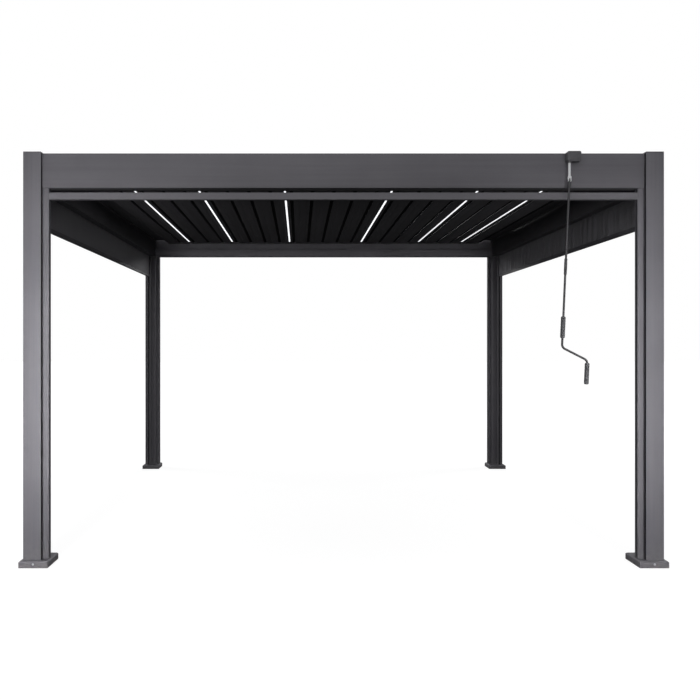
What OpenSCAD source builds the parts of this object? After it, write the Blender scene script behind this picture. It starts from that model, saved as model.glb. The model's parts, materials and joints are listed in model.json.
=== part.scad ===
// Louvered pergola: an aluminium frame on four posts, with turning roof louvers and light strips,
// a drop screen on each side and a crank that hangs at the front.

/* [Overall] */
// Width over the posts
frame_w = 3600; // [3300:10:4400]
// Depth over the posts
frame_d = 3000; // [2400:10:3800]
// Height to the top of the post caps
frame_h = 2335; // [2150:5:2900]

/* [Posts] */
// Side of the square post
post_w = 100; // [90:1:130]
// Wall of the post tube
post_wall = 3; // [2:0.5:6]
// Thickness of the cap on each post
cap_t = 5; // [3:1:12]
// Depth of the cap's spigot inside the post
spigot_h = 12; // [5:1:30]
// Gap round each piece that fits in or over another
fit = 0.3; // [0.1:0.1:0.6]

/* [Screen tracks] */
// How far a track stands out from the post
track_out = 35; // [28:1:50]
// Thickness of a track
track_t = 30; // [20:1:40]
// Distance of a track behind the post's outer face
track_back = 27; // [20:1:55]
// Width of the slot that guides the fabric
slot_w = 8; // [5:1:14]
// Depth of that slot
slot_depth = 20; // [12:1:25]

/* [Feet] */
// Overhang of a base cover past the post's outer faces
cover_out = 19; // [12:1:30]
// Overhang of a base cover past the end of the tracks
cover_lap = 10; // [7:1:25]
// Height of the cover's upright side
cover_side = 32; // [20:1:60]
// Height and inset of the bevel round the cover's top
cover_bevel = 6; // [3:1:10]
// Wall of the cover
cover_wall = 3; // [2:0.5:5]
// Gap between the foot plate and the cover round it
plate_gap = 2; // [1:0.5:4]
// Thickness of the foot plate
foot_t = 6; // [4:1:12]

/* [Beams] */
// Height of the beams
beam_h = 195; // [160:1:260]
// Distance of a beam behind the post's outer face
beam_back = 20; // [10:1:35]
// Wall of every beam
beam_wall = 3; // [2:0.5:5]
// Thickness of the hollow outer side of the front and back beams
fascia_t = 30; // [20:1:40]

/* [Louvers] */
// Width of the fixed strip between the side beam and the outer louver
side_strip = 124; // [100:1:160]
// Distance of the louver's axis below the top of the beams
louver_drop = 42.5; // [35:0.5:60]
// Thickness of a louver
louver_t = 25; // [22:1:30]
// Width of the open seam that shows between two louvers from below
seam_w = 24; // [12:0.5:28]
// Reach of each lower lip past the half pitch
lip_past = 3.4; // [2:0.1:5]
// Length of the lower lip
lower_lip = 11; // [8:1:20]
// Overlap of the upper lip over the next louver's lower lip
lip_over = 4.7; // [3:0.1:5]
// Thickness of both lips
lip_t = 4; // [2:0.5:5]
// Height of the upper lip above the next louver's lower lip
lip_gap = 6; // [5:0.5:9]
// Bevel along the top edges of a louver
louver_bevel = 4; // [1:0.5:4]
// Distance of the two fine grooves from the louver's middle line
groove_u = 26; // [20:1:34]
// Depth of those grooves
groove_t = 1; // [0.5:0.1:2]
// Radius of the pivot pins
pin_r = 5; // [3:0.5:8]
// Running gap round each pin
pin_gap = 0.1; // [0.05:0.05:0.4]
// Thickness of the pivot rails
rail_t = 8; // [5:1:12]
// Height of the pivot rails
rail_h = 40; // [30:1:60]
// Gap between the end of a louver and its rail
end_gap = 7; // [5:1:15]
// Gap round the circle that a louver's edge sweeps
swing_gap = 6; // [5:1:15]

/* [Lights] */
// Width of a light strip
light_w = 13; // [8:1:20]
// Distance of a light strip from the louver's middle line
light_u = 13; // [0:1:14]
// Depth of a light strip
light_t = 5; // [3:1:8]
// Distance from the end of the louver to the light strip
light_end = 85; // [40:5:300]

/* [Screens] */
// Drop of the fabric below the side beam
screen_drop = 184; // [60:1:1600]
// Thickness of the fabric
screen_t = 2; // [1:0.5:3]
// Gap between the fabric's edge and the bottom of the slot
screen_gap = 5; // [2:1:8]
// Height of the bar along the fabric's lower edge
screen_bar_h = 24; // [15:1:40]
// Thickness of that bar
screen_bar_t = 22; // [14:1:28]

/* [Front bar] */
// Height of the bar between the front tracks
front_bar_h = 39; // [25:1:60]
// Gap between the front beam and that bar
front_bar_gap = 25; // [10:1:60]

/* [Crank] */
// Distance from the crank's pivot to the right front post
crank_from_post = 433; // [250:1:700]
// Distance of the crank's pivot in front of the posts
crank_out = 4; // [0:1:10]
// Lean of the hanging crank
crank_tilt = 2.55; // [0:0.05:5]
// Width of the gearbox
gear_w = 77; // [60:1:120]
// Height of the gearbox
gear_h = 57; // [50:1:90]
// Distance from the pivot to the gearbox's middle
gear_shift = 23; // [0:1:25]
// Rise of the gearbox above the beam
gear_rise = 3; // [0:1:5]
// Radius of the gearbox's corners
gear_corner = 9; // [3:1:15]
// Radius of the sleeve below the gearbox
sleeve_r = 7; // [5:0.5:10]
// Distance from the gearbox down to the crank's pivot
sleeve_len = 104; // [70:1:140]
// Width of the fork at the end of the sleeve
fork_w = 18; // [16:1:28]
// Radius of the fork's rounded end
fork_r = 7; // [6:0.5:9]
// Radius of the pivot pin in the fork
hinge_r = 3; // [2:0.5:4]
// Thickness of the knuckle inside the fork
knuckle_w = 8; // [5:1:9]
// Gap on each side of the knuckle
knuckle_gap = 1; // [0.5:0.5:1.5]
// Distance from the pivot to the socket that holds the rod
neck_len = 14; // [13:1:25]
// Radius of that socket
socket_r = 9; // [8:0.5:12]
// Length of that socket
socket_h = 35; // [25:1:60]
// Radius of the rod
rod_r = 6; // [4:0.5:7]
// Swelling of the rod at its bends
bend_swell = 0.5; // [0.2:0.1:1]
// Radius of the coupling halfway down the rod
coupling_r = 8; // [7.5:0.5:11]
// Length of that coupling
coupling_h = 90; // [50:1:140]
// Distance from the pivot to the coupling
coupling_z = 440; // [250:10:600]
// Distance from the pivot to the upper grip
upper_grip_z = 765; // [700:5:800]
// Length of each grip
grip_len = 121; // [90:1:140]
// Radius of each grip
grip_r = 13; // [10:0.5:18]
// Distance from the pivot to the bend
bend_z = 939; // [930:1:1000]
// Sideways throw of the crank's arm
throw = 145; // [100:1:200]
// Fall of the arm from the bend to the lower grip's rod
arm_drop = 66; // [20:1:100]
// Distance from the arm's end to the lower grip
lower_grip_gap = 14; // [10:1:30]

/* [Hidden] */
$fn = 48;
louver_n = 22;
lit = [2, 5, 9, 14, 18, 21];
half_w = frame_w/2;
half_d = frame_d/2;
inner_w = half_w - post_w;
inner_d = half_d - post_w;
beam_top = frame_h - cap_t;
beam_z = beam_top - beam_h;
beam_out = half_d - beam_back;

cover_end = post_w + track_out + cover_lap;
cover_w = cover_out + cover_end;

pitch = 2*(inner_w - side_strip)/louver_n;
axis_z = beam_top - louver_drop;
half_t = louver_t/2;
lip_left = pitch/2 + lip_past;
body_left = lip_left - lower_lip;
body_right = pitch - lip_left - seam_w;
lip_right = pitch - lip_left + lip_over;
lip_z = lip_t + lip_gap - half_t;
swing_r = norm([lip_left, half_t]);
gutter_lip = axis_z - swing_r - swing_gap - beam_z;
rail_y = beam_out - fascia_t;
louver_end = rail_y - rail_t - end_gap;
pin_end = rail_y - 1;
light_y = louver_end - light_end;
strip_in = (louver_n - 1)*pitch/2 + swing_r + swing_gap;
strip_y = rail_y - swing_gap;
strip_z = axis_z + half_t + 3;
strip_flange = 20;

screen_x = half_w - track_back - track_t/2;
screen_end = inner_d - track_out + slot_depth - screen_gap;
screen_z = beam_z - screen_drop;
track_inner = inner_d - track_out;

gear_z = beam_top + gear_rise - gear_h;
crank_x = inner_w - crank_from_post;
crank_y = -(half_d + crank_out);
crank_z = gear_z - sleeve_len;
fork_slot = knuckle_w + 2*knuckle_gap;
fork_h = fork_r + 2*swing_gap + 2;
arm_z = bend_z + arm_drop;
lower_grip_z = arm_z + lower_grip_gap;

coat = [0.30, 0.30, 0.32];
dark_coat = [0.13, 0.13, 0.14];
fabric = [0.22, 0.22, 0.24];
steel = [0.62, 0.63, 0.64];

function louver_name(i) = str("louver_", i < 10 ? "0" : "", i);
function light_name(i) = str("light_", i < 10 ? "0" : "", i);
function louver_x(i) = (i - (louver_n + 1)/2)*pitch;
function is_lit(i) = len(search(i, lit)) > 0;

// Puts a corner's pieces in place: their own origin is the post's outer corner, on the ground.
module at_corner(right, back)
    mirror([right ? 1 : 0, 0, 0]) mirror([0, back ? 1 : 0, 0])
        translate([-half_w, -half_d, 0]) children();

module at_corners()
    for (right = [false, true], back = [false, true]) at_corner(right, back) children();

module both_sides() for (side = [0, 1]) mirror([side, 0, 0]) children();

module both_ends() for (end = [0, 1]) mirror([0, end, 0]) children();

module post(right, back) color(coat) at_corner(right, back) difference() {
    translate([0, 0, foot_t]) cube([post_w, post_w, beam_top - foot_t]);
    translate([post_wall, post_wall, foot_t - 1])
        cube([post_w - 2*post_wall, post_w - 2*post_wall, beam_top - foot_t + 2]);
}

module post_caps() color(coat) at_corners() {
    translate([0, 0, beam_top]) cube([post_w, post_w, cap_t]);
    translate([post_wall + fit, post_wall + fit, beam_top - spigot_h])
        cube([post_w - 2*(post_wall + fit), post_w - 2*(post_wall + fit), spigot_h + 1]);
}

module foot_plates() color(steel) at_corners()
    translate([cover_wall + plate_gap - cover_out, cover_wall + plate_gap - cover_out, 0])
        cube([cover_w - 2*(cover_wall + plate_gap), cover_w - 2*(cover_wall + plate_gap), foot_t]);

// Plan of a post with its two tracks, grown by a gap.
module post_plan(gap) {
    translate([-gap, -gap]) square(post_w + 2*gap);
    translate([post_w - 1, track_back - gap]) square([track_out + 1 + gap, track_t + 2*gap]);
    translate([track_back - gap, post_w - 1]) square([track_t + 2*gap, track_out + 1 + gap]);
}

module base_covers() color(coat) at_corners() difference() {
    translate([-cover_out, -cover_out, 0]) hull() {
        cube([cover_w, cover_w, cover_side]);
        translate([cover_bevel, cover_bevel, 0])
            cube([cover_w - 2*cover_bevel, cover_w - 2*cover_bevel, cover_side + cover_bevel]);
    }
    translate([cover_wall - cover_out, cover_wall - cover_out, -1])
        cube([cover_w - 2*cover_wall, cover_w - 2*cover_wall, cover_side + 1]);
    translate([0, 0, cover_side - 1]) linear_extrude(cover_bevel + 2) post_plan(fit);
}

module screen_track()
    translate([post_w, track_back, foot_t]) linear_extrude(beam_z - foot_t) difference() {
        square([track_out, track_t]);
        translate([track_out - slot_depth, (track_t - slot_w)/2]) square([slot_depth + 1, slot_w]);
    }

module screen_tracks() color(coat) at_corners() {
    screen_track();
    mirror([1, -1, 0]) screen_track();
}

// Section of the front and back beams: a hollow outer side, and a floor and lip that make a gutter.
module gutter_section() difference() {
    polygon([
        [beam_back, 0], [post_w, 0], [post_w, gutter_lip], [post_w - beam_wall, gutter_lip],
        [post_w - beam_wall, beam_wall], [beam_back + fascia_t, beam_wall],
        [beam_back + fascia_t, beam_h], [beam_back, beam_h]
    ]);
    translate([beam_back + beam_wall, beam_wall])
        square([fascia_t - 2*beam_wall, beam_h - 2*beam_wall]);
}

module cross_beam() color(coat) translate([-inner_w, -half_d, beam_z])
    rotate([90, 0, 90]) linear_extrude(2*inner_w) gutter_section();

module beam_front() cross_beam();

module beam_back() mirror([0, 1, 0]) cross_beam();

module beam_left() color(coat) translate([beam_back - half_w, inner_d, beam_z])
    rotate([90, 0, 0]) linear_extrude(2*inner_d) difference() {
        square([post_w - beam_back, beam_h]);
        translate([beam_wall, beam_wall])
            square([post_w - beam_back - 2*beam_wall, beam_h - 2*beam_wall]);
    }

module beam_right() mirror([1, 0, 0]) beam_left();

module pivot_rails() color(dark_coat) both_ends() difference() {
    translate([side_strip - inner_w, rail_y - rail_t, axis_z - rail_h/2])
        cube([2*(inner_w - side_strip), rail_t, rail_h]);
    for (i = [1:louver_n]) translate([louver_x(i), rail_y + 1, axis_z])
        rotate([90, 0, 0]) cylinder(r = pin_r + pin_gap, h = rail_t + 2);
}

module side_strips() color(dark_coat) both_sides() {
    translate([strip_in, -strip_y, strip_z]) cube([inner_w - strip_in, 2*strip_y, beam_wall]);
    translate([inner_w - beam_wall, -strip_y, strip_z - strip_flange])
        cube([beam_wall, 2*strip_y, strip_flange + 1]);
}

module front_bar() color(coat)
    translate([track_out - inner_w, track_back - half_d, beam_z - front_bar_gap - front_bar_h])
        cube([2*(inner_w - track_out), track_t, front_bar_h]);

module screen_left() color(fabric) translate([-screen_x - screen_t/2, -screen_end, screen_z])
    cube([screen_t, 2*screen_end, screen_drop]);

module screen_right() mirror([1, 0, 0]) screen_left();

module screen_bar_left() color(coat)
    translate([-screen_x - screen_bar_t/2, screen_gap - track_inner, screen_z - screen_bar_h])
        cube([screen_bar_t, 2*(track_inner - screen_gap), screen_bar_h]);

module screen_bar_right() mirror([1, 0, 0]) screen_bar_left();

// Section of a louver about its axis: the left lip lies under the next louver's right lip.
module louver_section() polygon(concat(
    [[-lip_left, lip_t - half_t], [-lip_left, -half_t]],
    [for (u = [-groove_u, groove_u], s = [-1, 0, 1]) [u + s*groove_t, (1 - abs(s))*groove_t - half_t]],
    [[body_right, -half_t], [body_right, lip_z], [lip_right, lip_z]],
    [[lip_right, lip_z + lip_t], [body_right, lip_z + lip_t]],
    [[body_right, half_t - louver_bevel], [body_right - louver_bevel, half_t]],
    [[louver_bevel - body_left, half_t], [-body_left, half_t - louver_bevel]],
    [[-body_left, lip_t - half_t]]
));

module louver(i) color(dark_coat) translate([louver_x(i), 0, axis_z]) {
    difference() {
        rotate([90, 0, 0]) linear_extrude(2*louver_end, center = true) louver_section();
        if (is_lit(i)) translate([light_u - light_w/2 - fit, -light_y - fit, -half_t - 1])
            cube([light_w + 2*fit, 2*(light_y + fit), light_t + 1]);
    }
    both_ends() translate([0, louver_end - 1, 0]) rotate([-90, 0, 0])
        cylinder(r = pin_r, h = pin_end - louver_end + 1);
}

module light(i) color("white") translate([louver_x(i) + light_u - light_w/2, -light_y, axis_z - half_t])
    cube([light_w, 2*light_y, light_t]);

module crank_gearbox() color(dark_coat)
    translate([crank_x + gear_shift, -beam_out, gear_z + gear_h/2])
        rotate([90, 0, 0]) linear_extrude(beam_back + cover_out) {
            square([gear_w - 2*gear_corner, gear_h], center = true);
            square([gear_w, gear_h - 2*gear_corner], center = true);
            for (x = [-1, 1], z = [-1, 1])
                translate([x*(gear_w/2 - gear_corner), z*(gear_h/2 - gear_corner)])
                    circle(r = gear_corner);
        }

module at_pivot() translate([crank_x, crank_y, crank_z]) children();

module crank_sleeve() color(steel) at_pivot() difference() {
    union() {
        translate([0, 0, fork_h - 1]) cylinder(r = sleeve_r, h = sleeve_len - fork_h + 1);
        translate([-fork_w/2, -fork_r, 0]) cube([fork_w, 2*fork_r, fork_h]);
        rotate([0, 90, 0]) cylinder(r = fork_r, h = fork_w, center = true);
    }
    translate([-fork_slot/2, -fork_r - 1, -fork_r - 1])
        cube([fork_slot, 2*fork_r + 2, 2*fork_r + swing_gap]);
    rotate([0, 90, 0]) cylinder(r = hinge_r + pin_gap, h = fork_w + 2, center = true);
}

module crank_knuckle() color(steel) at_pivot() {
    rotate([0, 90, 0]) cylinder(r = hinge_r, h = fork_w + 4, center = true);
    rotate([0, 90, 0]) cylinder(r = fork_r - 1, h = knuckle_w, center = true);
    rotate([0, crank_tilt, 0]) {
        translate([-knuckle_w/2 + 1, -knuckle_w/2, -neck_len - 3])
            cube([knuckle_w - 2, knuckle_w, neck_len + 3]);
        difference() {
            translate([0, 0, -neck_len - socket_h]) cylinder(r = socket_r, h = socket_h);
            translate([0, 0, -neck_len - socket_h - 1])
                cylinder(r = rod_r + fit, h = socket_h - socket_r + 1);
        }
    }
}

module along_rod() at_pivot() rotate([0, crank_tilt, 0]) children();

module crank_rod() color("silver") along_rod() union() {
    rod_top = neck_len + socket_r + 2;
    arm_len = norm([throw, arm_drop]);
    translate([0, 0, -bend_z]) {
        cylinder(r = rod_r, h = bend_z - rod_top);
        rotate([0, atan2(throw, -arm_drop), 0]) cylinder(r = rod_r, h = arm_len);
        for (x = [0, 1]) translate([x*throw, 0, -x*arm_drop]) sphere(r = rod_r + bend_swell);
        translate([throw, 0, -arm_drop - lower_grip_gap - grip_len + 3])
            cylinder(r = rod_r, h = lower_grip_gap + grip_len - 3);
    }
    translate([0, 0, -coupling_z - coupling_h]) cylinder(r = coupling_r, h = coupling_h);
}

module grip() difference() {
    cylinder(r = grip_r, h = grip_len);
    translate([0, 0, 3 - fit]) cylinder(r = rod_r + fit, h = grip_len);
}

module crank_grips() color(dark_coat) along_rod() {
    difference() {
        translate([0, 0, -upper_grip_z - grip_len]) cylinder(r = grip_r, h = grip_len);
        translate([0, 0, -upper_grip_z - grip_len - 1]) cylinder(r = rod_r + fit, h = grip_len + 2);
    }
    translate([throw, 0, -lower_grip_z - grip_len]) grip();
}

post(false, false);  // post_front_left
post(true, false);  // post_front_right
post(false, true);  // post_back_left
post(true, true);  // post_back_right
post_caps();
foot_plates();
base_covers();
screen_tracks();
beam_front();
beam_back();
beam_left();
beam_right();
pivot_rails();
side_strips();
front_bar();
screen_left();
screen_right();
screen_bar_left();
screen_bar_right();
for (i = [1:louver_n]) louver(i);
for (i = lit) light(i);
crank_gearbox();
crank_sleeve();
crank_knuckle();
crank_rod();
crank_grips();
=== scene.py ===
# Louvered pergola: soft edges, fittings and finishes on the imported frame.
import json
import math

import bpy
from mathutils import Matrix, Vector


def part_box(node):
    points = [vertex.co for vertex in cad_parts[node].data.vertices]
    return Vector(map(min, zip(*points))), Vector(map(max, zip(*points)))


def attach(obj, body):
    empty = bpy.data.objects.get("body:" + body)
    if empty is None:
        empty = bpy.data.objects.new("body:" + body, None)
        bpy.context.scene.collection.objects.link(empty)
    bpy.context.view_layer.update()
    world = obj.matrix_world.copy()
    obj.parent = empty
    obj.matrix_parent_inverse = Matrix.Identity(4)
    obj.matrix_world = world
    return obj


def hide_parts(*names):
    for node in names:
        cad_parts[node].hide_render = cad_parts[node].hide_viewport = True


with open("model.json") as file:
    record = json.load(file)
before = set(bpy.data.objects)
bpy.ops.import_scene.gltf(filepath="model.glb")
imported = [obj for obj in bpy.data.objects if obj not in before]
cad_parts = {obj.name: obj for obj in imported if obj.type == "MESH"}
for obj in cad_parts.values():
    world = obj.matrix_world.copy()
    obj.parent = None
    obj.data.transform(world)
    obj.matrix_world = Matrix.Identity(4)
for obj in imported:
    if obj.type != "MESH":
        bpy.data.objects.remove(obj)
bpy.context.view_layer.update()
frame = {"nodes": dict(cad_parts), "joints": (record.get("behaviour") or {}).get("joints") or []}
nodes = frame["nodes"]
print("frame loaded:", len(nodes), "nodes")


def jointPlace(name):
    return next(joint for joint in frame["joints"] if joint["name"] == name)["pos_m"]


# selecting, opening and closing meshes

def deselectAll():
    if bpy.context.mode != "OBJECT":
        bpy.ops.object.mode_set(mode="OBJECT")
    bpy.ops.object.select_all(action="DESELECT")


def pick(piece):
    deselectAll()
    bpy.context.view_layer.objects.active = piece
    piece.select_set(True)
    return piece


def openMesh(piece):
    pick(piece)
    bpy.ops.object.mode_set(mode="EDIT")
    bpy.ops.mesh.select_all(action="SELECT")


def closeMesh(piece):
    bpy.ops.mesh.select_all(action="SELECT")
    bpy.ops.mesh.remove_doubles(threshold=0.00001)
    bpy.ops.mesh.normals_make_consistent(inside=False)
    bpy.ops.object.mode_set(mode="OBJECT")
    return piece


def selectFaces(piece, wanted):
    bpy.ops.object.mode_set(mode="OBJECT")
    for part in (piece.data.vertices, piece.data.edges, piece.data.polygons):
        part.foreach_set("select", [False] * len(part))
    for face in piece.data.polygons:
        face.select = wanted(face)
    bpy.ops.object.mode_set(mode="EDIT")


def applyPlace(piece):
    pick(piece)
    bpy.ops.object.transform_apply(location=True, rotation=True, scale=True)
    return piece


def softEdges(piece, width, segments=2, angle=35):
    pick(piece)
    bevel = piece.modifiers.new("edges", "BEVEL")
    bevel.width = width
    bevel.segments = segments
    bevel.limit_method = "ANGLE"
    bevel.angle_limit = math.radians(angle)
    bevel.harden_normals = False
    bpy.ops.object.modifier_apply(modifier=bevel.name)
    bpy.ops.object.shade_smooth_by_angle(angle=math.radians(40))
    return piece


def joinAll(pieces, name):
    pick(pieces[0])
    for piece in pieces[1:]:
        piece.select_set(True)
    if len(pieces) > 1:
        bpy.ops.object.join()
    joined = bpy.context.view_layer.objects.active
    joined.name = name
    return joined


def onBody(piece, body, finish, slot, *replaced):
    piece.data.materials.clear()
    piece.data.materials.append(finish)
    applyPlace(piece)
    if replaced:
        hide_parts(*replaced)
    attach(piece, body)
    return piece


# shapes that the pieces are made from

def softCopy(node, width, segments=2):
    mesh = nodes[node].data.copy()
    piece = bpy.data.objects.new(node + "_soft", mesh)
    bpy.context.scene.collection.objects.link(piece)
    openMesh(piece)
    bpy.ops.mesh.remove_doubles(threshold=0.00002)
    bpy.ops.mesh.dissolve_limited(angle_limit=math.radians(1.5))
    bpy.ops.object.mode_set(mode="OBJECT")
    return softEdges(piece, width, segments)


def block(name, low, high, width=0.001, segments=2):
    low, high = Vector(low), Vector(high)
    deselectAll()
    bpy.ops.mesh.primitive_cube_add(size=1, location=(low + high) / 2)
    piece = bpy.context.object
    piece.name = name
    piece.scale = high - low
    applyPlace(piece)
    return softEdges(piece, width, segments) if width else piece


def turned(name, rings, at, tilt=(0, 0, 0), sides=32, smooth=50):
    # rings are (height, radius) pairs along the piece's own axis
    deselectAll()
    bpy.ops.mesh.primitive_circle_add(vertices=sides, radius=rings[0][1], fill_type="NGON")
    piece = bpy.context.object
    piece.name = name
    bpy.ops.object.mode_set(mode="EDIT")
    bpy.ops.mesh.select_all(action="SELECT")
    bpy.ops.transform.translate(value=(0, 0, rings[0][0]))
    for (height, radius), (lastHeight, lastRadius) in zip(rings[1:], rings):
        rise = (0, 0, height - lastHeight)
        bpy.ops.mesh.extrude_region_move(TRANSFORM_OT_translate={"value": rise})
        share = radius / lastRadius
        bpy.ops.transform.resize(value=(share, share, 1))
    closeMesh(piece)
    piece.rotation_euler = tilt
    piece.location = at
    applyPlace(piece)
    bpy.ops.object.shade_smooth_by_angle(angle=math.radians(smooth))
    return piece


def sweptRod(name, points, radius, bendRadius):
    # a round rod along straight runs, each corner rounded to bendRadius
    path = [Vector(points[0])]
    for before, corner, after in zip(points, points[1:], points[2:]):
        before, corner, after = Vector(before), Vector(corner), Vector(after)
        inward, outward = (before - corner).normalized(), (after - corner).normalized()
        half = inward.angle(outward) / 2
        reach = bendRadius / math.tan(half)
        start, end = corner + inward * reach, corner + outward * reach
        for step in range(9):
            share = step / 8
            path.append(start.lerp(corner, share).lerp(corner.lerp(end, share), share))
    path.append(Vector(points[-1]))
    deselectAll()
    bpy.ops.curve.primitive_bezier_curve_add()
    curve = bpy.context.object
    curve.name = name
    curve.data.splines.clear()
    line = curve.data.splines.new("POLY")
    line.points.add(len(path) - 1)
    for point, place in zip(line.points, path):
        point.co = (*place, 1)
    curve.location = (0, 0, 0)
    curve.rotation_euler = (0, 0, 0)
    curve.data.dimensions = "3D"
    curve.data.bevel_depth = radius
    curve.data.bevel_resolution = 5
    curve.data.use_fill_caps = True
    pick(curve)
    bpy.ops.object.convert(target="MESH")
    piece = bpy.context.object
    openMesh(piece)
    closeMesh(piece)
    bpy.ops.object.shade_smooth_by_angle(angle=math.radians(50))
    return piece


# shared effects, each a node group

def newGroup(name, inputs, outputs):
    group = bpy.data.node_groups.new(name, "ShaderNodeTree")
    for label, value in inputs:
        kind = "NodeSocketVector" if isinstance(value, tuple) else "NodeSocketFloat"
        group.interface.new_socket(name=label, in_out="INPUT", socket_type=kind).default_value = value
    for label in outputs:
        group.interface.new_socket(name=label, in_out="OUTPUT", socket_type="NodeSocketFloat")
    return group, group.nodes.new("NodeGroupInput"), group.nodes.new("NodeGroupOutput")


def addNode(tree, kind, values=None, **settings):
    node = tree.nodes.new(kind)
    for key, value in settings.items():
        setattr(node, key, value)
    for key, value in (values or {}).items():
        if isinstance(value, bpy.types.NodeSocket):
            tree.links.new(value, node.inputs[key])
        else:
            node.inputs[key].default_value = value
    return node


def scaledNoise(tree, vector, scale, detail=2.0, roughness=0.5):
    noise = addNode(tree, "ShaderNodeTexNoise", {"Vector": vector, "Detail": detail, "Roughness": roughness})
    if isinstance(scale, bpy.types.NodeSocket):
        tree.links.new(scale, noise.inputs["Scale"])
    else:
        noise.inputs["Scale"].default_value = scale
    return noise.outputs["Fac"]


def spread(tree, value, low, high, toLow, toHigh):
    ramp = addNode(tree, "ShaderNodeMapRange", {"Value": value, "From Min": low, "From Max": high})
    ramp.inputs["To Min"].default_value = toLow
    ramp.inputs["To Max"].default_value = toHigh
    return ramp.outputs["Result"]


def arithmetic(tree, operation, first, second):
    return addNode(tree, "ShaderNodeMath", {0: first, 1: second}, operation=operation).outputs[0]


def makeCoatGrain():
    # powder coat: fine orange peel, soft clouding and faint draw lines along the profile
    tree, given, result = newGroup(
        "coatGrain",
        [("Grain Scale", 800.0), ("Cloud Scale", 4.0), ("Draw Lines", (60.0, 60.0, 1.0))],
        ["Cloud", "Fleck", "Height"],
    )
    place = addNode(tree, "ShaderNodeTexCoord").outputs["Object"]
    peel = scaledNoise(tree, place, given.outputs["Grain Scale"], 3.0, 0.6)
    cloud = scaledNoise(tree, place, given.outputs["Cloud Scale"], 5.0, 0.55)
    stretched = addNode(
        tree, "ShaderNodeVectorMath", {0: place, 1: given.outputs["Draw Lines"]}, operation="MULTIPLY"
    ).outputs[0]
    lines = scaledNoise(tree, stretched, 1.0, 2.0)
    cloudShare = arithmetic(tree, "MULTIPLY", cloud, 0.6)
    lineShare = arithmetic(tree, "MULTIPLY", lines, 0.4)
    tree.links.new(arithmetic(tree, "ADD", cloudShare, lineShare), result.inputs["Cloud"])
    tree.links.new(spread(tree, peel, 0.56, 0.7, 0.0, 1.0), result.inputs["Fleck"])
    tree.links.new(peel, result.inputs["Height"])
    return tree


def makeDustFall():
    # dust that gathers near the ground and thins out upwards
    tree, given, result = newGroup("dustFall", [("Top", 0.12), ("Patch Scale", 30.0)], ["Dust"])
    place = addNode(tree, "ShaderNodeTexCoord").outputs["Object"]
    height = addNode(tree, "ShaderNodeSeparateXYZ", {0: place}).outputs["Z"]
    share = arithmetic(tree, "DIVIDE", height, given.outputs["Top"])
    fall = spread(tree, share, 0.0, 1.0, 1.0, 0.0)
    patch = scaledNoise(tree, place, given.outputs["Patch Scale"], 4.0, 0.6)
    dust = arithmetic(tree, "MULTIPLY", fall, spread(tree, patch, 0.35, 0.7, 0.0, 1.0))
    tree.links.new(dust, result.inputs["Dust"])
    return tree


def makeScreenWeave():
    # plain weave of coated yarn across Y and Z, and uneven slubs that run down the cloth
    tree, given, result = newGroup("screenWeave", [("Yarns", 900.0)], ["Yarn", "Slub"])
    place = addNode(tree, "ShaderNodeTexCoord").outputs["Object"]
    axes = addNode(tree, "ShaderNodeSeparateXYZ", {0: place})

    def yarnWave(axis):
        yarns = arithmetic(tree, "MULTIPLY", axes.outputs[axis], given.outputs["Yarns"])
        return arithmetic(tree, "SINE", yarns, 0)

    crossing = arithmetic(tree, "MULTIPLY", yarnWave("Y"), yarnWave("Z"))
    yarn = spread(tree, crossing, -1.0, 1.0, 0.0, 1.0)
    stretched = addNode(
        tree, "ShaderNodeVectorMath", {0: place, 1: (1.0, 90.0, 4.0)}, operation="MULTIPLY"
    ).outputs[0]
    tree.links.new(yarn, result.inputs["Yarn"])
    tree.links.new(scaledNoise(tree, stretched, 1.0, 3.0), result.inputs["Slub"])
    return tree


coatGrain = makeCoatGrain()
dustFall = makeDustFall()
screenWeave = makeScreenWeave()


# finishes

def newFinish(name, **plain):
    finish = bpy.data.materials.new(name)
    finish.use_nodes = True
    tree = finish.node_tree
    shader = tree.nodes["Principled BSDF"]
    for key, value in plain.items():
        shader.inputs[key].default_value = value
    return finish, tree, shader


def placeGroup(tree, group, values=None):
    return addNode(tree, "ShaderNodeGroup", values, node_tree=group)


def blendColours(tree, share, first, second):
    mix = addNode(tree, "ShaderNodeMix", data_type="RGBA")
    for socket, value in ((mix.inputs[0], share), (mix.inputs[6], first), (mix.inputs[7], second)):
        if isinstance(value, bpy.types.NodeSocket):
            tree.links.new(value, socket)
        else:
            socket.default_value = value
    return mix.outputs[2]


def bump(tree, height, strength, distance):
    made = addNode(tree, "ShaderNodeBump", {"Height": height})
    made.inputs["Strength"].default_value = strength
    made.inputs["Distance"].default_value = distance
    return made.outputs["Normal"]


def powderCoat(name, look):
    finish, tree, shader = newFinish(name)
    grain = placeGroup(tree, coatGrain, {
        "Grain Scale": look["grain"], "Cloud Scale": look["clouds"], "Draw Lines": look["lines"],
    })
    clouded = spread(tree, grain.outputs["Cloud"], 0.3, 0.7, 0.0, 1.0)
    colour = blendColours(tree, clouded, (*look["dark"], 1), (*look["light"], 1))
    flecks = arithmetic(tree, "MULTIPLY", grain.outputs["Fleck"], look["fleck"])
    colour = blendColours(tree, flecks, colour, (*[min(1, 2.2 * c) for c in look["light"]], 1))
    if look.get("dust"):
        dust = placeGroup(tree, dustFall, {"Top": look["dustTop"]})
        share = arithmetic(tree, "MULTIPLY", dust.outputs["Dust"], look["dust"])
        colour = blendColours(tree, share, colour, (0.35, 0.33, 0.31, 1))
    tree.links.new(colour, shader.inputs["Base Color"])
    rough = spread(tree, grain.outputs["Cloud"], 0.25, 0.75, look["rough"] - 0.06, look["rough"] + 0.07)
    tree.links.new(rough, shader.inputs["Roughness"])
    tree.links.new(bump(tree, grain.outputs["Height"], look["peel"], 0.0004), shader.inputs["Normal"])
    shader.inputs["Specular IOR Level"].default_value = look["shine"]
    return finish


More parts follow.
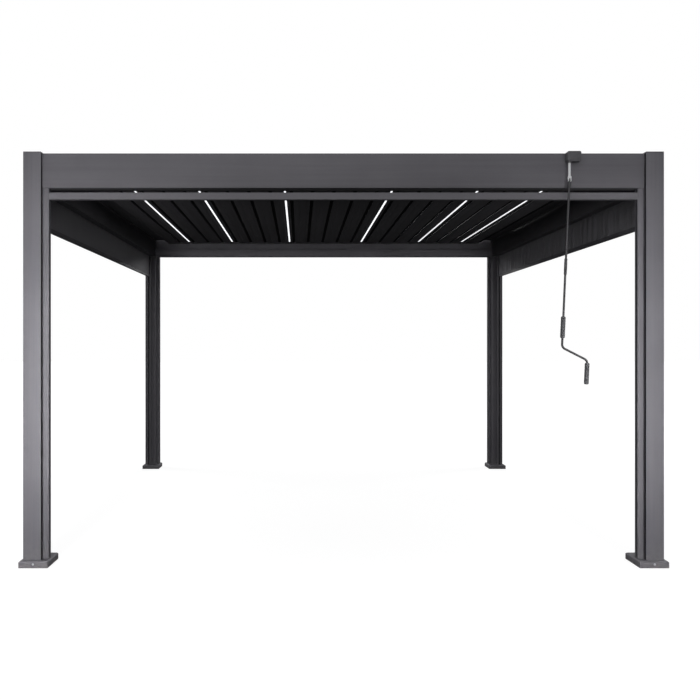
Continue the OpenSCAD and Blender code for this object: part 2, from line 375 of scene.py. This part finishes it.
alongZ, alongY, alongX = (70.0, 70.0, 1.2), (70.0, 1.2, 70.0), (1.2, 70.0, 70.0)
coatLook = {
    "dark": (0.118, 0.114, 0.127), "light": (0.152, 0.147, 0.162), "grain": 700.0, "clouds": 3.0,
    "lines": alongZ, "fleck": 0.35, "rough": 0.6, "peel": 0.35, "shine": 0.35, "dust": 0.25, "dustTop": 0.15,
}
postCoat = powderCoat("postCoat", coatLook)
beamCoat = powderCoat("beamCoat", {**coatLook, "lines": alongX, "dust": 0})
sideCoat = powderCoat("sideCoat", {**coatLook, "lines": alongY, "dust": 0})
coverCoat = powderCoat("coverCoat", {**coatLook, "lines": (3.0, 3.0, 3.0), "dust": 0.45, "dustTop": 0.045})
# darker copy of the frame's powder coat: painted shade on the louvers, the roof's side strips and the side
# beam lining
louverCoat = powderCoat("louverCoat", {
    **coatLook, "dark": (0.068, 0.066, 0.073), "light": (0.096, 0.092, 0.102), "lines": alongY, "dust": 0,
    "rough": 0.62, "shine": 0.2,
})


def mouldedPlastic(name, dark, light, rough, grain=1400.0, shine=0.4):
    finish, tree, shader = newFinish(name, **{"Specular IOR Level": shine})
    texture = placeGroup(tree, coatGrain, {
        "Grain Scale": grain, "Cloud Scale": 14.0, "Draw Lines": (5.0, 5.0, 5.0),
    })
    colour = blendColours(tree, texture.outputs["Cloud"], (*dark, 1), (*light, 1))
    tree.links.new(colour, shader.inputs["Base Color"])
    wobble = spread(tree, texture.outputs["Cloud"], 0.2, 0.8, rough - 0.05, rough + 0.08)
    tree.links.new(wobble, shader.inputs["Roughness"])
    tree.links.new(bump(tree, texture.outputs["Height"], 0.25, 0.0002), shader.inputs["Normal"])
    return finish


def brushedMetal(name, dark, light, rough, metallic):
    finish, tree, shader = newFinish(name, Metallic=metallic)
    texture = placeGroup(tree, coatGrain, {
        "Grain Scale": 500.0, "Cloud Scale": 25.0, "Draw Lines": (200.0, 200.0, 8.0),
    })
    streak = spread(tree, texture.outputs["Cloud"], 0.3, 0.7, 0.0, 1.0)
    tree.links.new(blendColours(tree, streak, (*dark, 1), (*light, 1)), shader.inputs["Base Color"])
    tree.links.new(spread(tree, streak, 0.0, 1.0, rough - 0.06, rough + 0.08), shader.inputs["Roughness"])
    tree.links.new(bump(tree, texture.outputs["Cloud"], 0.15, 0.0002), shader.inputs["Normal"])
    return finish


railPlastic = mouldedPlastic("railPlastic", (0.022, 0.022, 0.025), (0.034, 0.034, 0.037), 0.5)
gearPlastic = mouldedPlastic("gearPlastic", (0.085, 0.083, 0.09), (0.115, 0.112, 0.121), 0.45)
gripPlastic = mouldedPlastic("gripPlastic", (0.075, 0.075, 0.08), (0.11, 0.11, 0.116), 0.5)
# near-black rubber for the seals and guides; on the post strips and in the louver seams the same black paints
# shade
sealRubber = mouldedPlastic("sealRubber", (0.004, 0.004, 0.005), (0.008, 0.008, 0.009), 0.8, shine=0.1)
zincSteel = brushedMetal("zincSteel", (0.42, 0.43, 0.45), (0.6, 0.61, 0.63), 0.38, 0.9)
brightSteel = brushedMetal("brightSteel", (0.78, 0.79, 0.8), (0.9, 0.9, 0.91), 0.5, 0.35)
rodCoat = powderCoat("rodCoat", {
    **coatLook, "dark": (0.05, 0.049, 0.053), "light": (0.07, 0.069, 0.074), "lines": (9.0, 9.0, 9.0),
    "dust": 0, "grain": 1500.0,
})


def makeFabric(name, dark, light):
    finish, tree, shader = newFinish(name, **{"Sheen Weight": 0.12, "Sheen Roughness": 0.5})
    weave = placeGroup(tree, screenWeave, {"Yarns": 1800.0})
    colour = blendColours(tree, weave.outputs["Slub"], (*dark, 1), (*light, 1))
    gaps = spread(tree, weave.outputs["Yarn"], 0, 1, 0.0, 0.35)
    colour = blendColours(tree, gaps, colour, (0.01, 0.01, 0.011, 1))
    tree.links.new(colour, shader.inputs["Base Color"])
    tree.links.new(spread(tree, weave.outputs["Slub"], 0.3, 0.7, 0.72, 0.88), shader.inputs["Roughness"])
    tree.links.new(bump(tree, weave.outputs["Yarn"], 0.3, 0.0003), shader.inputs["Normal"])
    return finish


screenFabric = makeFabric("screenFabric", (0.25, 0.245, 0.268), (0.36, 0.35, 0.384))


def makeDiffuser():
    finish, tree, shader = newFinish("lightDiffuser", Roughness=0.35)
    place = addNode(tree, "ShaderNodeTexCoord").outputs["Object"]
    cloud = scaledNoise(tree, place, 40.0, 2.0)
    colour = blendColours(tree, cloud, (0.86, 0.88, 0.92, 1), (1, 1, 1, 1))
    tree.links.new(colour, shader.inputs["Base Color"])
    tree.links.new(colour, shader.inputs["Emission Color"])
    shader.inputs["Emission Strength"].default_value = 1.3
    return finish


lightDiffuser = makeDiffuser()
print("finishes made")


# posts, tracks and beams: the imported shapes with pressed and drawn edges

softWidths = {
    "post": 0.0012, "beam": 0.0012, "track": 0.0008, "cap": 0.0015, "cover": 0.0012, "bar": 0.0012,
    "strip": 0.0008,
}

for side in ("front_left", "front_right", "back_left", "back_right"):
    onBody(softCopy("post_" + side, softWidths["post"]), "frame", postCoat, "coat", "post_" + side)
onBody(softCopy("post_caps", softWidths["cap"]), "frame", beamCoat, "coat", "post_caps")
onBody(softCopy("screen_tracks", softWidths["track"]), "frame", postCoat, "coat", "screen_tracks")
onBody(softCopy("base_covers", softWidths["cover"], 3), "frame", coverCoat, "cover", "base_covers")
for name, finish in (("front", beamCoat), ("back", beamCoat), ("left", sideCoat), ("right", sideCoat)):
    onBody(softCopy("beam_" + name, softWidths["beam"]), "frame", finish, "coat", "beam_" + name)
for name, finish in (("foot_plates", zincSteel), ("pivot_rails", railPlastic)):
    nodes[name].data.materials.clear()
    nodes[name].data.materials.append(finish)
onBody(softCopy("side_strips", softWidths["strip"]), "frame", louverCoat, "louver", "side_strips")
print("frame softened")


# black strips on the posts that paint the shadow gap at each joint, a dark lining inside the side beams that
# paints their shade, and the guides in the tracks

def postCorners():
    # each post's two directions, its inner faces and its outer faces
    for right in (-1, 1):
        for back in (-1, 1):
            row, side = "back" if back > 0 else "front", "right" if right > 0 else "left"
            low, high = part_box("post_" + row + "_" + side)
            inner = (low.x if right > 0 else high.x, low.y if back > 0 else high.y)
            outer = (high.x if right > 0 else low.x, high.y if back > 0 else low.y)
            yield (right, back, *inner, *outer)


def cornerBlock(corner, along, across, height, sideways, width, segments):
    # a block at a post: along is measured from its inner face, across from its outer face
    right, back, innerX, innerY, outerX, outerY = corner
    if sideways:
        xs = sorted(innerX - right * value for value in along)
        ys = sorted(outerY - back * value for value in across)
    else:
        ys = sorted(innerY - back * value for value in along)
        xs = sorted(outerX - right * value for value in across)
    return block("strip", (xs[0], ys[0], height[0]), (xs[1], ys[1], height[1]), width, segments)


# the black strips beside the posts are painted shade: they stand for the shadow gap where post, track and
# beam meet
shadowGapLook = {"thick": 0.0015, "across": (0.004, 0.015), "foot": 0.04, "below": 0.002, "edge": 0.0004}


def shadowGapStrips():
    along, across = (0, shadowGapLook["thick"]), shadowGapLook["across"]
    height = (shadowGapLook["foot"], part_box("post_front_left")[1].z - shadowGapLook["below"])
    made = []
    for corner in postCorners():
        made.append(cornerBlock(corner, along, across, height, True, shadowGapLook["edge"], 2))
    return joinAll(made, "post_joint_strips")


# a dark sheet on each side beam's inner face, in the darker louver coat: painted shade inside the beams
shadeLiningLook = {"thick": 0.0015, "top": 0.146, "end": 0.002, "foot": 0.001, "edge": 0.0005}


def sideBeamShadeLining():
    look = shadeLiningLook
    made = []
    for side, inward in (("left", 1), ("right", -1)):
        low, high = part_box("beam_" + side)
        face = high.x if inward > 0 else low.x
        xs = sorted((face, face + inward * look["thick"]))
        liningLow = (xs[0], low.y + look["end"], low.z + look["foot"])
        liningHigh = (xs[1], high.y - look["end"], low.z + look["top"])
        made.append(block("lining", liningLow, liningHigh, look["edge"]))
    return joinAll(made, "beam_lining")


guideLook = {
    "wall": 0.0012, "floor": 0.0005, "foot": 0.045, "below": 0.001, "halfSlot": 0.004, "deep": 0.0195,
    "inset": 0.0005, "trackOut": 0.035, "trackMiddle": 0.042, "edge": 0.0003,
}


def slotGuides():
    # plastic channels that line the slots of the screen tracks
    look = guideLook
    made = []
    height = (look["foot"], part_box("beam_front")[0].z - look["below"])
    bottom, mouth = look["trackOut"] - look["deep"], look["trackOut"] - look["inset"]
    for corner in postCorners():
        for sideways in (True, False):
            for side in (-1, 1):
                near = look["trackMiddle"] + side * look["halfSlot"]
                across = (near, near - side * look["wall"])
                made.append(cornerBlock(corner, (bottom, mouth), across, height, sideways, look["edge"], 1))
            across = (look["trackMiddle"] - look["halfSlot"], look["trackMiddle"] + look["halfSlot"])
            floor = (bottom, bottom - look["floor"])
            made.append(cornerBlock(corner, floor, across, height, sideways, 0, 1))
    return joinAll(made, "slot_guides")


onBody(slotGuides(), "frame", sealRubber, "plastic")
# painted shade: black strips for the shadow gap beside each post
onBody(shadowGapStrips(), "frame", sealRubber, "plastic")
# painted shade: a dark lining on the side beams' inner faces
onBody(sideBeamShadeLining(), "frame", louverCoat, "louver")


# base cover screws

screwLook = {"head": 0.0065, "rise": 0.0032, "height": 0.021, "middle": 0.082, "sunk": 0.0002}


def screwHead(name, at, tilt):
    head, rise = screwLook["head"], screwLook["rise"]
    rings = [
        (0, head), (rise * 0.35, head), (rise * 0.8, head * 0.8),
        (rise, head * 0.45), (rise * 0.55, head * 0.4),
    ]
    return turned(name, rings, at, tilt, sides=20)


def coverScrews():
    made = []
    lowCorner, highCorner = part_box("base_covers")
    middle, sunk, height = screwLook["middle"], screwLook["sunk"], screwLook["height"]
    for right in (-1, 1):
        for back in (-1, 1):
            cornerX = highCorner.x if right > 0 else lowCorner.x
            cornerY = highCorner.y if back > 0 else lowCorner.y
            front = (cornerX - right * middle, cornerY - back * sunk, height)
            side = (cornerX - right * sunk, cornerY - back * middle, height)
            made.append(screwHead("screw", front, (math.radians(-90 * back), 0, 0)))
            made.append(screwHead("screw", side, (0, math.radians(90 * right), 0)))
    return joinAll(made, "cover_screws")


onBody(coverScrews(), "frame", zincSteel, "steel")
print("screws in")


# louvers and their lights

louverLook = {
    "edge": 0.0007, "sealDrop": 0.002, "sealIn": 0.001, "sealEnd": 0.016, "sealEdge": 0.0005,
    "bodySide": 0.0442, "lipTip": 0.0729, "lipUnder": 0.010, "lowerLip": 0.004,
}


def louverSeamSealAndShade(node):
    # rubber strip under the upper lip, in the seam between two louvers; its near-black also paints the shade
    # in the seam
    low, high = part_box(node)
    hinge = jointPlace(node + "_turn")
    top = low.z + louverLook["lipUnder"]
    ends = high.y - louverLook["sealEnd"]
    sealLow = (hinge[0] + louverLook["bodySide"], -ends, top - louverLook["sealDrop"])
    sealHigh = (hinge[0] + louverLook["lipTip"] - louverLook["sealIn"], ends, top)
    return block(node + "_seal", sealLow, sealHigh, louverLook["sealEdge"])


capLook = {
    "end": 0.014, "thick": 0.002, "left": 0.063, "right": 0.043, "inset": 0.001, "edge": 0.0006,
    "boss": 0.009, "bossTop": 0.0065, "bossOut": 0.0035, "bossBevel": 0.001,
}


def louverCaps(node):
    # moulded caps that close the louver's ends around the pins
    low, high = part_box(node)
    hinge = jointPlace(node + "_turn")
    look = capLook
    end = high.y - look["end"]
    boss = [
        (0, look["boss"]), (look["bossOut"] - look["bossBevel"], look["boss"]),
        (look["bossOut"], look["bossTop"]),
    ]
    made = []
    for back in (-1, 1):
        ys = sorted((back * end, back * (end + look["thick"])))
        capLow = (hinge[0] - look["left"], ys[0], low.z + look["inset"])
        capHigh = (hinge[0] + look["right"], ys[1], high.z - look["inset"])
        made.append(block("cap", capLow, capHigh, look["edge"]))
        tilt = (math.radians(-90 * back), 0, 0)
        made.append(turned("boss", boss, (hinge[0], back * end, hinge[2]), tilt, 24))
    return joinAll(made, node + "_caps")


for number in range(1, 23):
    node = f"louver_{number:02d}"
    onBody(softCopy(node, louverLook["edge"]), node, louverCoat, "louver", node)
    onBody(louverSeamSealAndShade(node), node, sealRubber, "plastic")
    onBody(louverCaps(node), node, railPlastic, "plastic")


edgeLook = {
    "thick": 0.002, "overLip": 0.0008, "reach": 0.0105, "lap": 0.001, "end": 0.016, "top": 0.0205,
    "finIn": 0.006, "finOut": 0.0086, "finRise": 0.001, "edge": 0.0005,
}


def stripEdge():
    # distance from the middle to the inner edge of the cover strips
    return min(abs(vertex.co.x) for vertex in nodes["side_strips"].data.vertices)


def leftEdgeSeal():
    # rubber blade from the left cover strip down to the lip of the first louver
    look = edgeLook
    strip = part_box("side_strips")[0]
    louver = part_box("louver_01")
    edge = -stripEdge()
    ends = louver[1].y - look["end"]
    low = louver[0].z + louverLook["lowerLip"] + look["overLip"]
    bladeHigh = (edge - look["lap"] + look["thick"], ends, strip.z + look["top"])
    blade = block("blade", (edge - look["lap"], -ends, low), bladeHigh, look["edge"])
    foot = block("foot", (edge, -ends, low), (edge + look["reach"], ends, low + look["thick"]), look["edge"])
    return joinAll([blade, foot], "edge_seal_left")


def rightEdgeFin():
    # rubber fin on the lip of the last louver, which closes it against the right cover strip
    low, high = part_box("louver_22")
    ends = high.y - edgeLook["end"]
    under = low.z + louverLook["lipUnder"] + edgeLook["finRise"]
    finLow = (high.x - edgeLook["finIn"], -ends, under - edgeLook["thick"])
    finHigh = (high.x + edgeLook["finOut"], ends, under)
    return block("edge_fin_right", finLow, finHigh, edgeLook["edge"])


def rightEdgeSeal():
    # rubber blade under the right cover strip, which the fin closes against
    edge = stripEdge()
    low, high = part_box("louver_22")
    ends = high.y - edgeLook["end"]
    bladeLow = (edge, -ends, low.z + louverLook["lipUnder"] - edgeLook["thick"])
    bladeHigh = (edge + edgeLook["thick"], ends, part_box("side_strips")[0].z + edgeLook["top"])
    return block("edge_seal_right", bladeLow, bladeHigh, edgeLook["edge"])


onBody(leftEdgeSeal(), "frame", sealRubber, "plastic")
onBody(rightEdgeFin(), "louver_22", sealRubber, "plastic")
onBody(rightEdgeSeal(), "frame", sealRubber, "plastic")


lightLook = {"lip": 0.0012, "recess": 0.0008, "edge": 0.002 / 3}


def lightStrip(node):
    low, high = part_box(node)
    strip = block(node + "_strip", low, high, 0)
    openMesh(strip)
    selectFaces(strip, lambda face: face.normal.z < -0.5)
    bpy.ops.mesh.inset(thickness=lightLook["lip"], depth=0)
    bpy.ops.transform.translate(value=(0, 0, lightLook["recess"]))
    closeMesh(strip)
    return softEdges(strip, lightLook["edge"])


for number in (2, 5, 9, 14, 18, 21):
    node = f"light_{number:02d}"
    onBody(lightStrip(node), f"louver_{number:02d}", lightDiffuser, "light", node)
print("roof done")


# side screens

screenLook = {"columns": 360, "rows": 12, "thickness": 0.0009, "leftWave": 0.0006, "rightWave": 0.007}


def sideScreen(node, wave, seed):
    low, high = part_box(node)
    middle = (low + high) / 2
    deselectAll()
    bpy.ops.mesh.primitive_grid_add(
        x_subdivisions=screenLook["rows"], y_subdivisions=screenLook["columns"], size=1, location=(0, 0, 0)
    )
    cloth = bpy.context.object
    cloth.name = node + "_cloth"
    cloth.rotation_euler = (0, math.radians(90), 0)
    cloth.scale = (high.z - low.z, high.y - low.y, 1)
    applyPlace(cloth)
    for vertex in cloth.data.vertices:
        y, z = vertex.co.y, vertex.co.z
        edge = max(0.0, 1 - abs(2 * y / (high.y - low.y)) ** 8)
        hang = 0.35 + 0.65 * math.sin(math.pi * min(1, max(0, 0.5 - z / (high.z - low.z))) * 0.85)
        fold = (
            math.sin(58 * y + 4 * math.sin(5.3 * y + seed) + 3 * z)
            + 0.7 * math.sin(97 * y + seed + 5 * math.sin(3.1 * y))
            + 0.4 * math.sin(163 * y - 6 * z)
        )
        vertex.co.x += wave * edge * hang * fold / 1.6
    cloth.location = middle
    applyPlace(cloth)
    solid = cloth.modifiers.new("cloth", "SOLIDIFY")
    solid.thickness = screenLook["thickness"]
    solid.offset = 0
    bpy.ops.object.modifier_apply(modifier=solid.name)
    bpy.ops.object.shade_smooth_by_angle(angle=math.radians(60))
    return cloth


barLook = {
    "groove": 0.0015, "screenRim": 0.006, "screenEdge": 0.0008, "screenArea": 0.01,
    "frontRim": 0.012, "frontArea": 0.05,
}


def groovedBar(node, axis, rim, leastArea, edge):
    # a packed bar with a shallow groove along its two long faces
    bar = softCopy(node, 0.0001, 1)
    openMesh(bar)
    for side in (-1, 1):
        selectFaces(bar, lambda face: face.normal[axis] * side > 0.9 and face.area > leastArea)
        bpy.ops.mesh.inset(thickness=rim, depth=0)
        push = [0, 0, 0]
        push[axis] = -side * barLook["groove"]
        bpy.ops.transform.translate(value=push)
    closeMesh(bar)
    return softEdges(bar, edge)


for side, wave, seed in (("left", screenLook["leftWave"], 0.7), ("right", screenLook["rightWave"], 2.9)):
    cloth = sideScreen("screen_" + side, wave, seed)
    onBody(cloth, "frame", screenFabric, "fabric", "screen_" + side)
    bar = groovedBar(
        "screen_bar_" + side, 0, barLook["screenRim"], barLook["screenArea"], barLook["screenEdge"]
    )
    bar = onBody(bar, "frame", sideCoat, "coat", "screen_bar_" + side)
print("screens hung")


# front bar

frontBar = groovedBar("front_bar", 1, barLook["frontRim"], barLook["frontArea"], softWidths["bar"])
onBody(frontBar, "frame", beamCoat, "coat", "front_bar")


# crank drive: gearbox, shaft, joint, rod and grips

crankLook = {"lean": 2.55, "sleeveEdge": 0.0007, "knuckleEdge": 0.0006}
pivot = Vector(jointPlace("crank_swing"))


def alongRod(across, down):
    # a place measured across and down the leaning rod from its pivot
    lean = math.radians(crankLook["lean"])
    return pivot + Vector((
        across * math.cos(lean) - down * math.sin(lean), 0, -across * math.sin(lean) - down * math.cos(lean)
    ))


rodTilt = (0, math.radians(crankLook["lean"]) + math.pi, 0)

gearLook = {
    "edge": 0.0025, "lidIn": 0.006, "lidOut": 0.0015, "lidBack": 0.003, "lidEdge": 0.001,
    "screwIn": 0.012, "screwSunk": 0.0002, "collarSunk": 0.0005,
    "screw": [(0, 0.0034), (0.0012, 0.0034), (0.0018, 0.0028), (0.0018, 0.0018), (0.0010, 0.0016)],
    "collar": [(0, 0.0125), (0.006, 0.0125), (0.0075, 0.011), (0.0075, 0.0085)],
}


def gearbox():
    look = gearLook
    low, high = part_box("crank_gearbox")
    housing = softCopy("crank_gearbox", look["edge"], 3)
    lidLow = (low.x + look["lidIn"], low.y - look["lidOut"], low.z + look["lidIn"])
    lidHigh = (high.x - look["lidIn"], low.y + look["lidBack"], high.z - look["lidIn"])
    made = [housing, block("lid", lidLow, lidHigh, look["lidEdge"])]
    screwY = low.y - look["lidOut"] + look["screwSunk"]
    for x in (low.x + look["screwIn"], high.x - look["screwIn"]):
        for z in (low.z + look["screwIn"], high.z - look["screwIn"]):
            made.append(turned("screw", look["screw"], (x, screwY, z), (math.pi / 2, 0, 0), 12))
    collarPlace = (pivot.x, pivot.y, low.z + look["collarSunk"])
    made.append(turned("collar", look["collar"], collarPlace, (math.pi, 0, 0)))
    return joinAll(made, "gearbox_case")


onBody(gearbox(), "frame", gearPlastic, "plastic", "crank_gearbox")
sleeve = softCopy("crank_sleeve", crankLook["sleeveEdge"])
onBody(sleeve, "frame", brightSteel, "steel", "crank_sleeve")
# the knuckle takes the rod's dark coat, which also paints the shade in the slot of the sleeve's fork
knuckle = softCopy("crank_knuckle", crankLook["knuckleEdge"])
onBody(knuckle, "knuckle", rodCoat, "steel", "crank_knuckle")

rodLook = {
    "radius": 0.006, "bend": 0.03, "top": 0.025, "bendDown": 0.939, "armDown": 1.005, "endDown": 1.136,
    "throw": 0.145, "coupling": 0.44,
}


def crankRod():
    look = rodLook
    line = [
        alongRod(0, look["top"]), alongRod(0, look["bendDown"]),
        alongRod(look["throw"], look["armDown"]), alongRod(look["throw"], look["endDown"]),
    ]
    rod = sweptRod("rod", line, look["radius"], look["bend"])
    rings = [
        (0, 0.0064), (0.002, 0.0080), (0.012, 0.0082), (0.0135, 0.0074), (0.0165, 0.0074), (0.018, 0.0082),
        (0.072, 0.0082), (0.0735, 0.0074), (0.0765, 0.0074), (0.078, 0.0082), (0.088, 0.0080), (0.09, 0.0064),
    ]
    coupling = turned("coupling", rings, alongRod(0, look["coupling"]), rodTilt)
    return joinAll([rod, coupling], "crank_rod_bent")


onBody(crankRod(), "crank", rodCoat, "crank", "crank_rod")

gripLook = {
    "length": 0.121, "upper": 0.765, "lower": 1.019, "ribs": 12, "plain": 0.008,
    "crown": 0.0128, "valley": 0.0119,
}


def grip(name, across, down):
    look = gripLook
    length, crown, valley = look["length"], look["crown"], look["valley"]
    rings = [(0, 0.0075), (0.0015, 0.0105), (0.004, 0.0125)]
    step = (length - 2 * look["plain"]) / look["ribs"]
    for rib in range(look["ribs"]):
        start = look["plain"] + rib * step
        rings += [(start, crown), (start + step * 0.6, crown)]
        rings += [(start + step * 0.7, valley), (start + step * 0.9, valley)]
    rings += [(length - 0.006, crown), (length - 0.002, 0.0115), (length, 0.0075)]
    return turned(name, rings, alongRod(across, down), rodTilt)


bothGrips = [grip("grip", 0, gripLook["upper"]), grip("grip", rodLook["throw"], gripLook["lower"])]
grips = joinAll(bothGrips, "crank_grips_ribbed")
onBody(grips, "crank", gripPlastic, "grip", "crank_grips")
print("crank drive done")


# floor, backdrop, lamps and camera; a lamp is its name, place, target, size, power and spread

studio = {
    "world": 0.28, "floorAlbedo": (0.055, 0.055, 0.055), "floorShade": (0.25, 0.25, 0.25),
    "floorSeen": 0.86, "floorNear": (3.5, 7.5),
    "lamps": [
        ("postLampLeft", (-1.73, -3.1, 0.95), (-1.74, -1.5, 0.95), (0.2, 1.7), 11.0, 85),
        ("postLampRight", (1.73, -3.1, 0.95), (1.74, -1.5, 0.95), (0.2, 1.7), 8.5, 85),
        ("frontFill", (-0.6, -6.3, 2.0), (-0.4, 0.0, 1.6), (3.5, 2.0), 50.0, 180),
        ("beamLamp", (-0.9, -4.3, 3.1), (-0.8, -1.5, 2.2), (3.4, 0.4), 20.0, 180),
        ("leftFill", (-6.3, 2.6, 3.4), (-1.8, 0.2, 1.6), (2.4, 1.0), 130.0, 180),
        ("rightFill", (6.3, 2.6, 3.4), (1.8, 0.2, 1.6), (2.4, 1.0), 130.0, 180),
        ("backFill", (0.3, 6.5, 3.4), (0.2, 1.5, 1.6), (3.5, 1.0), 90.0, 180),
        ("topFill", (0.5, -0.5, 7.0), (0.0, 0.0, 2.3), (4.0, 4.0), 120.0, 180),
    ],
}


def makeFloor():
    deselectAll()
    bpy.ops.mesh.primitive_plane_add(size=80, location=(0, 0, 0))
    floor = bpy.context.object
    floor.name = "studioFloor"
    finish = bpy.data.materials.new("studioFloor")
    finish.use_nodes = True
    tree = finish.node_tree
    shader = tree.nodes["Principled BSDF"]
    shader.inputs["Base Color"].default_value = (*studio["floorAlbedo"], 1)
    shader.inputs["Roughness"].default_value = 0.9
    shader.inputs["Specular IOR Level"].default_value = 0.0
    # what the camera sees: pale with a soft shadow near the posts, plain white further out
    place = addNode(tree, "ShaderNodeTexCoord").outputs["Object"]
    distance = addNode(tree, "ShaderNodeVectorMath", {0: place}, operation="LENGTH").outputs["Value"]
    far = spread(tree, distance, *studio["floorNear"], 0.0, 1.0)
    glow = spread(tree, far, 0.0, 1.0, studio["floorSeen"], 1.0)
    shade = addNode(tree, "ShaderNodeBsdfDiffuse", {"Color": (*studio["floorShade"], 1)})
    seen = addNode(tree, "ShaderNodeEmission", {"Color": (1, 1, 1, 1), "Strength": glow})
    both = addNode(tree, "ShaderNodeAddShader")
    tree.links.new(seen.outputs[0], both.inputs[0])
    tree.links.new(shade.outputs[0], both.inputs[1])
    rays = addNode(tree, "ShaderNodeLightPath")
    whose = arithmetic(tree, "MAXIMUM", rays.outputs["Is Camera Ray"], rays.outputs["Is Transmission Ray"])
    choice = addNode(tree, "ShaderNodeMixShader", {0: whose})
    tree.links.new(shader.outputs[0], choice.inputs[1])
    tree.links.new(both.outputs[0], choice.inputs[2])
    tree.links.new(choice.outputs[0], tree.nodes["Material Output"].inputs["Surface"])
    floor.data.materials.append(finish)


def makeWorld():
    world = bpy.data.worlds.new("studioWorld")
    bpy.context.scene.world = world
    world.use_nodes = True
    tree = world.node_tree
    back = tree.nodes["Background"]
    back.inputs["Color"].default_value = (0.97, 0.98, 1.0, 1)
    back.inputs["Strength"].default_value = studio["world"]
    white = addNode(tree, "ShaderNodeBackground", {"Color": (1, 1, 1, 1), "Strength": 1.0})
    rays = addNode(tree, "ShaderNodeLightPath")
    whose = arithmetic(tree, "MAXIMUM", rays.outputs["Is Camera Ray"], rays.outputs["Is Transmission Ray"])
    choice = addNode(tree, "ShaderNodeMixShader", {0: whose})
    tree.links.new(back.outputs[0], choice.inputs[1])
    tree.links.new(white.outputs[0], choice.inputs[2])
    tree.links.new(choice.outputs[0], tree.nodes["World Output"].inputs["Surface"])


def addLamp(name, place, target, size, power, beam):
    data = bpy.data.lights.new(name, "AREA")
    data.shape = "RECTANGLE"
    data.size, data.size_y = size
    data.energy = power
    data.spread = math.radians(beam)
    lamp = bpy.data.objects.new(name, data)
    lamp.location = place
    lamp.rotation_euler = (Vector(target) - Vector(place)).to_track_quat("-Z", "Y").to_euler()
    lamp.visible_camera = False
    bpy.context.scene.collection.objects.link(lamp)


makeFloor()
makeWorld()
for lamp in studio["lamps"]:
    addLamp(*lamp)

cameraLook = {"place": (-0.2487, -5.145, 1.255), "lens": 33.38, "shift": (0.0725, -0.009)}
camera = bpy.data.objects.new("camera", bpy.data.cameras.new("camera"))
bpy.context.scene.collection.objects.link(camera)
camera.location = cameraLook["place"]
camera.rotation_euler = (math.radians(90), 0, 0)
camera.data.sensor_width = 36
camera.data.lens = cameraLook["lens"]
camera.data.shift_x, camera.data.shift_y = cameraLook["shift"]
camera.data.clip_end = 200
bpy.context.scene.camera = camera
bpy.context.scene.view_settings.view_transform = "Standard"
print("studio ready")
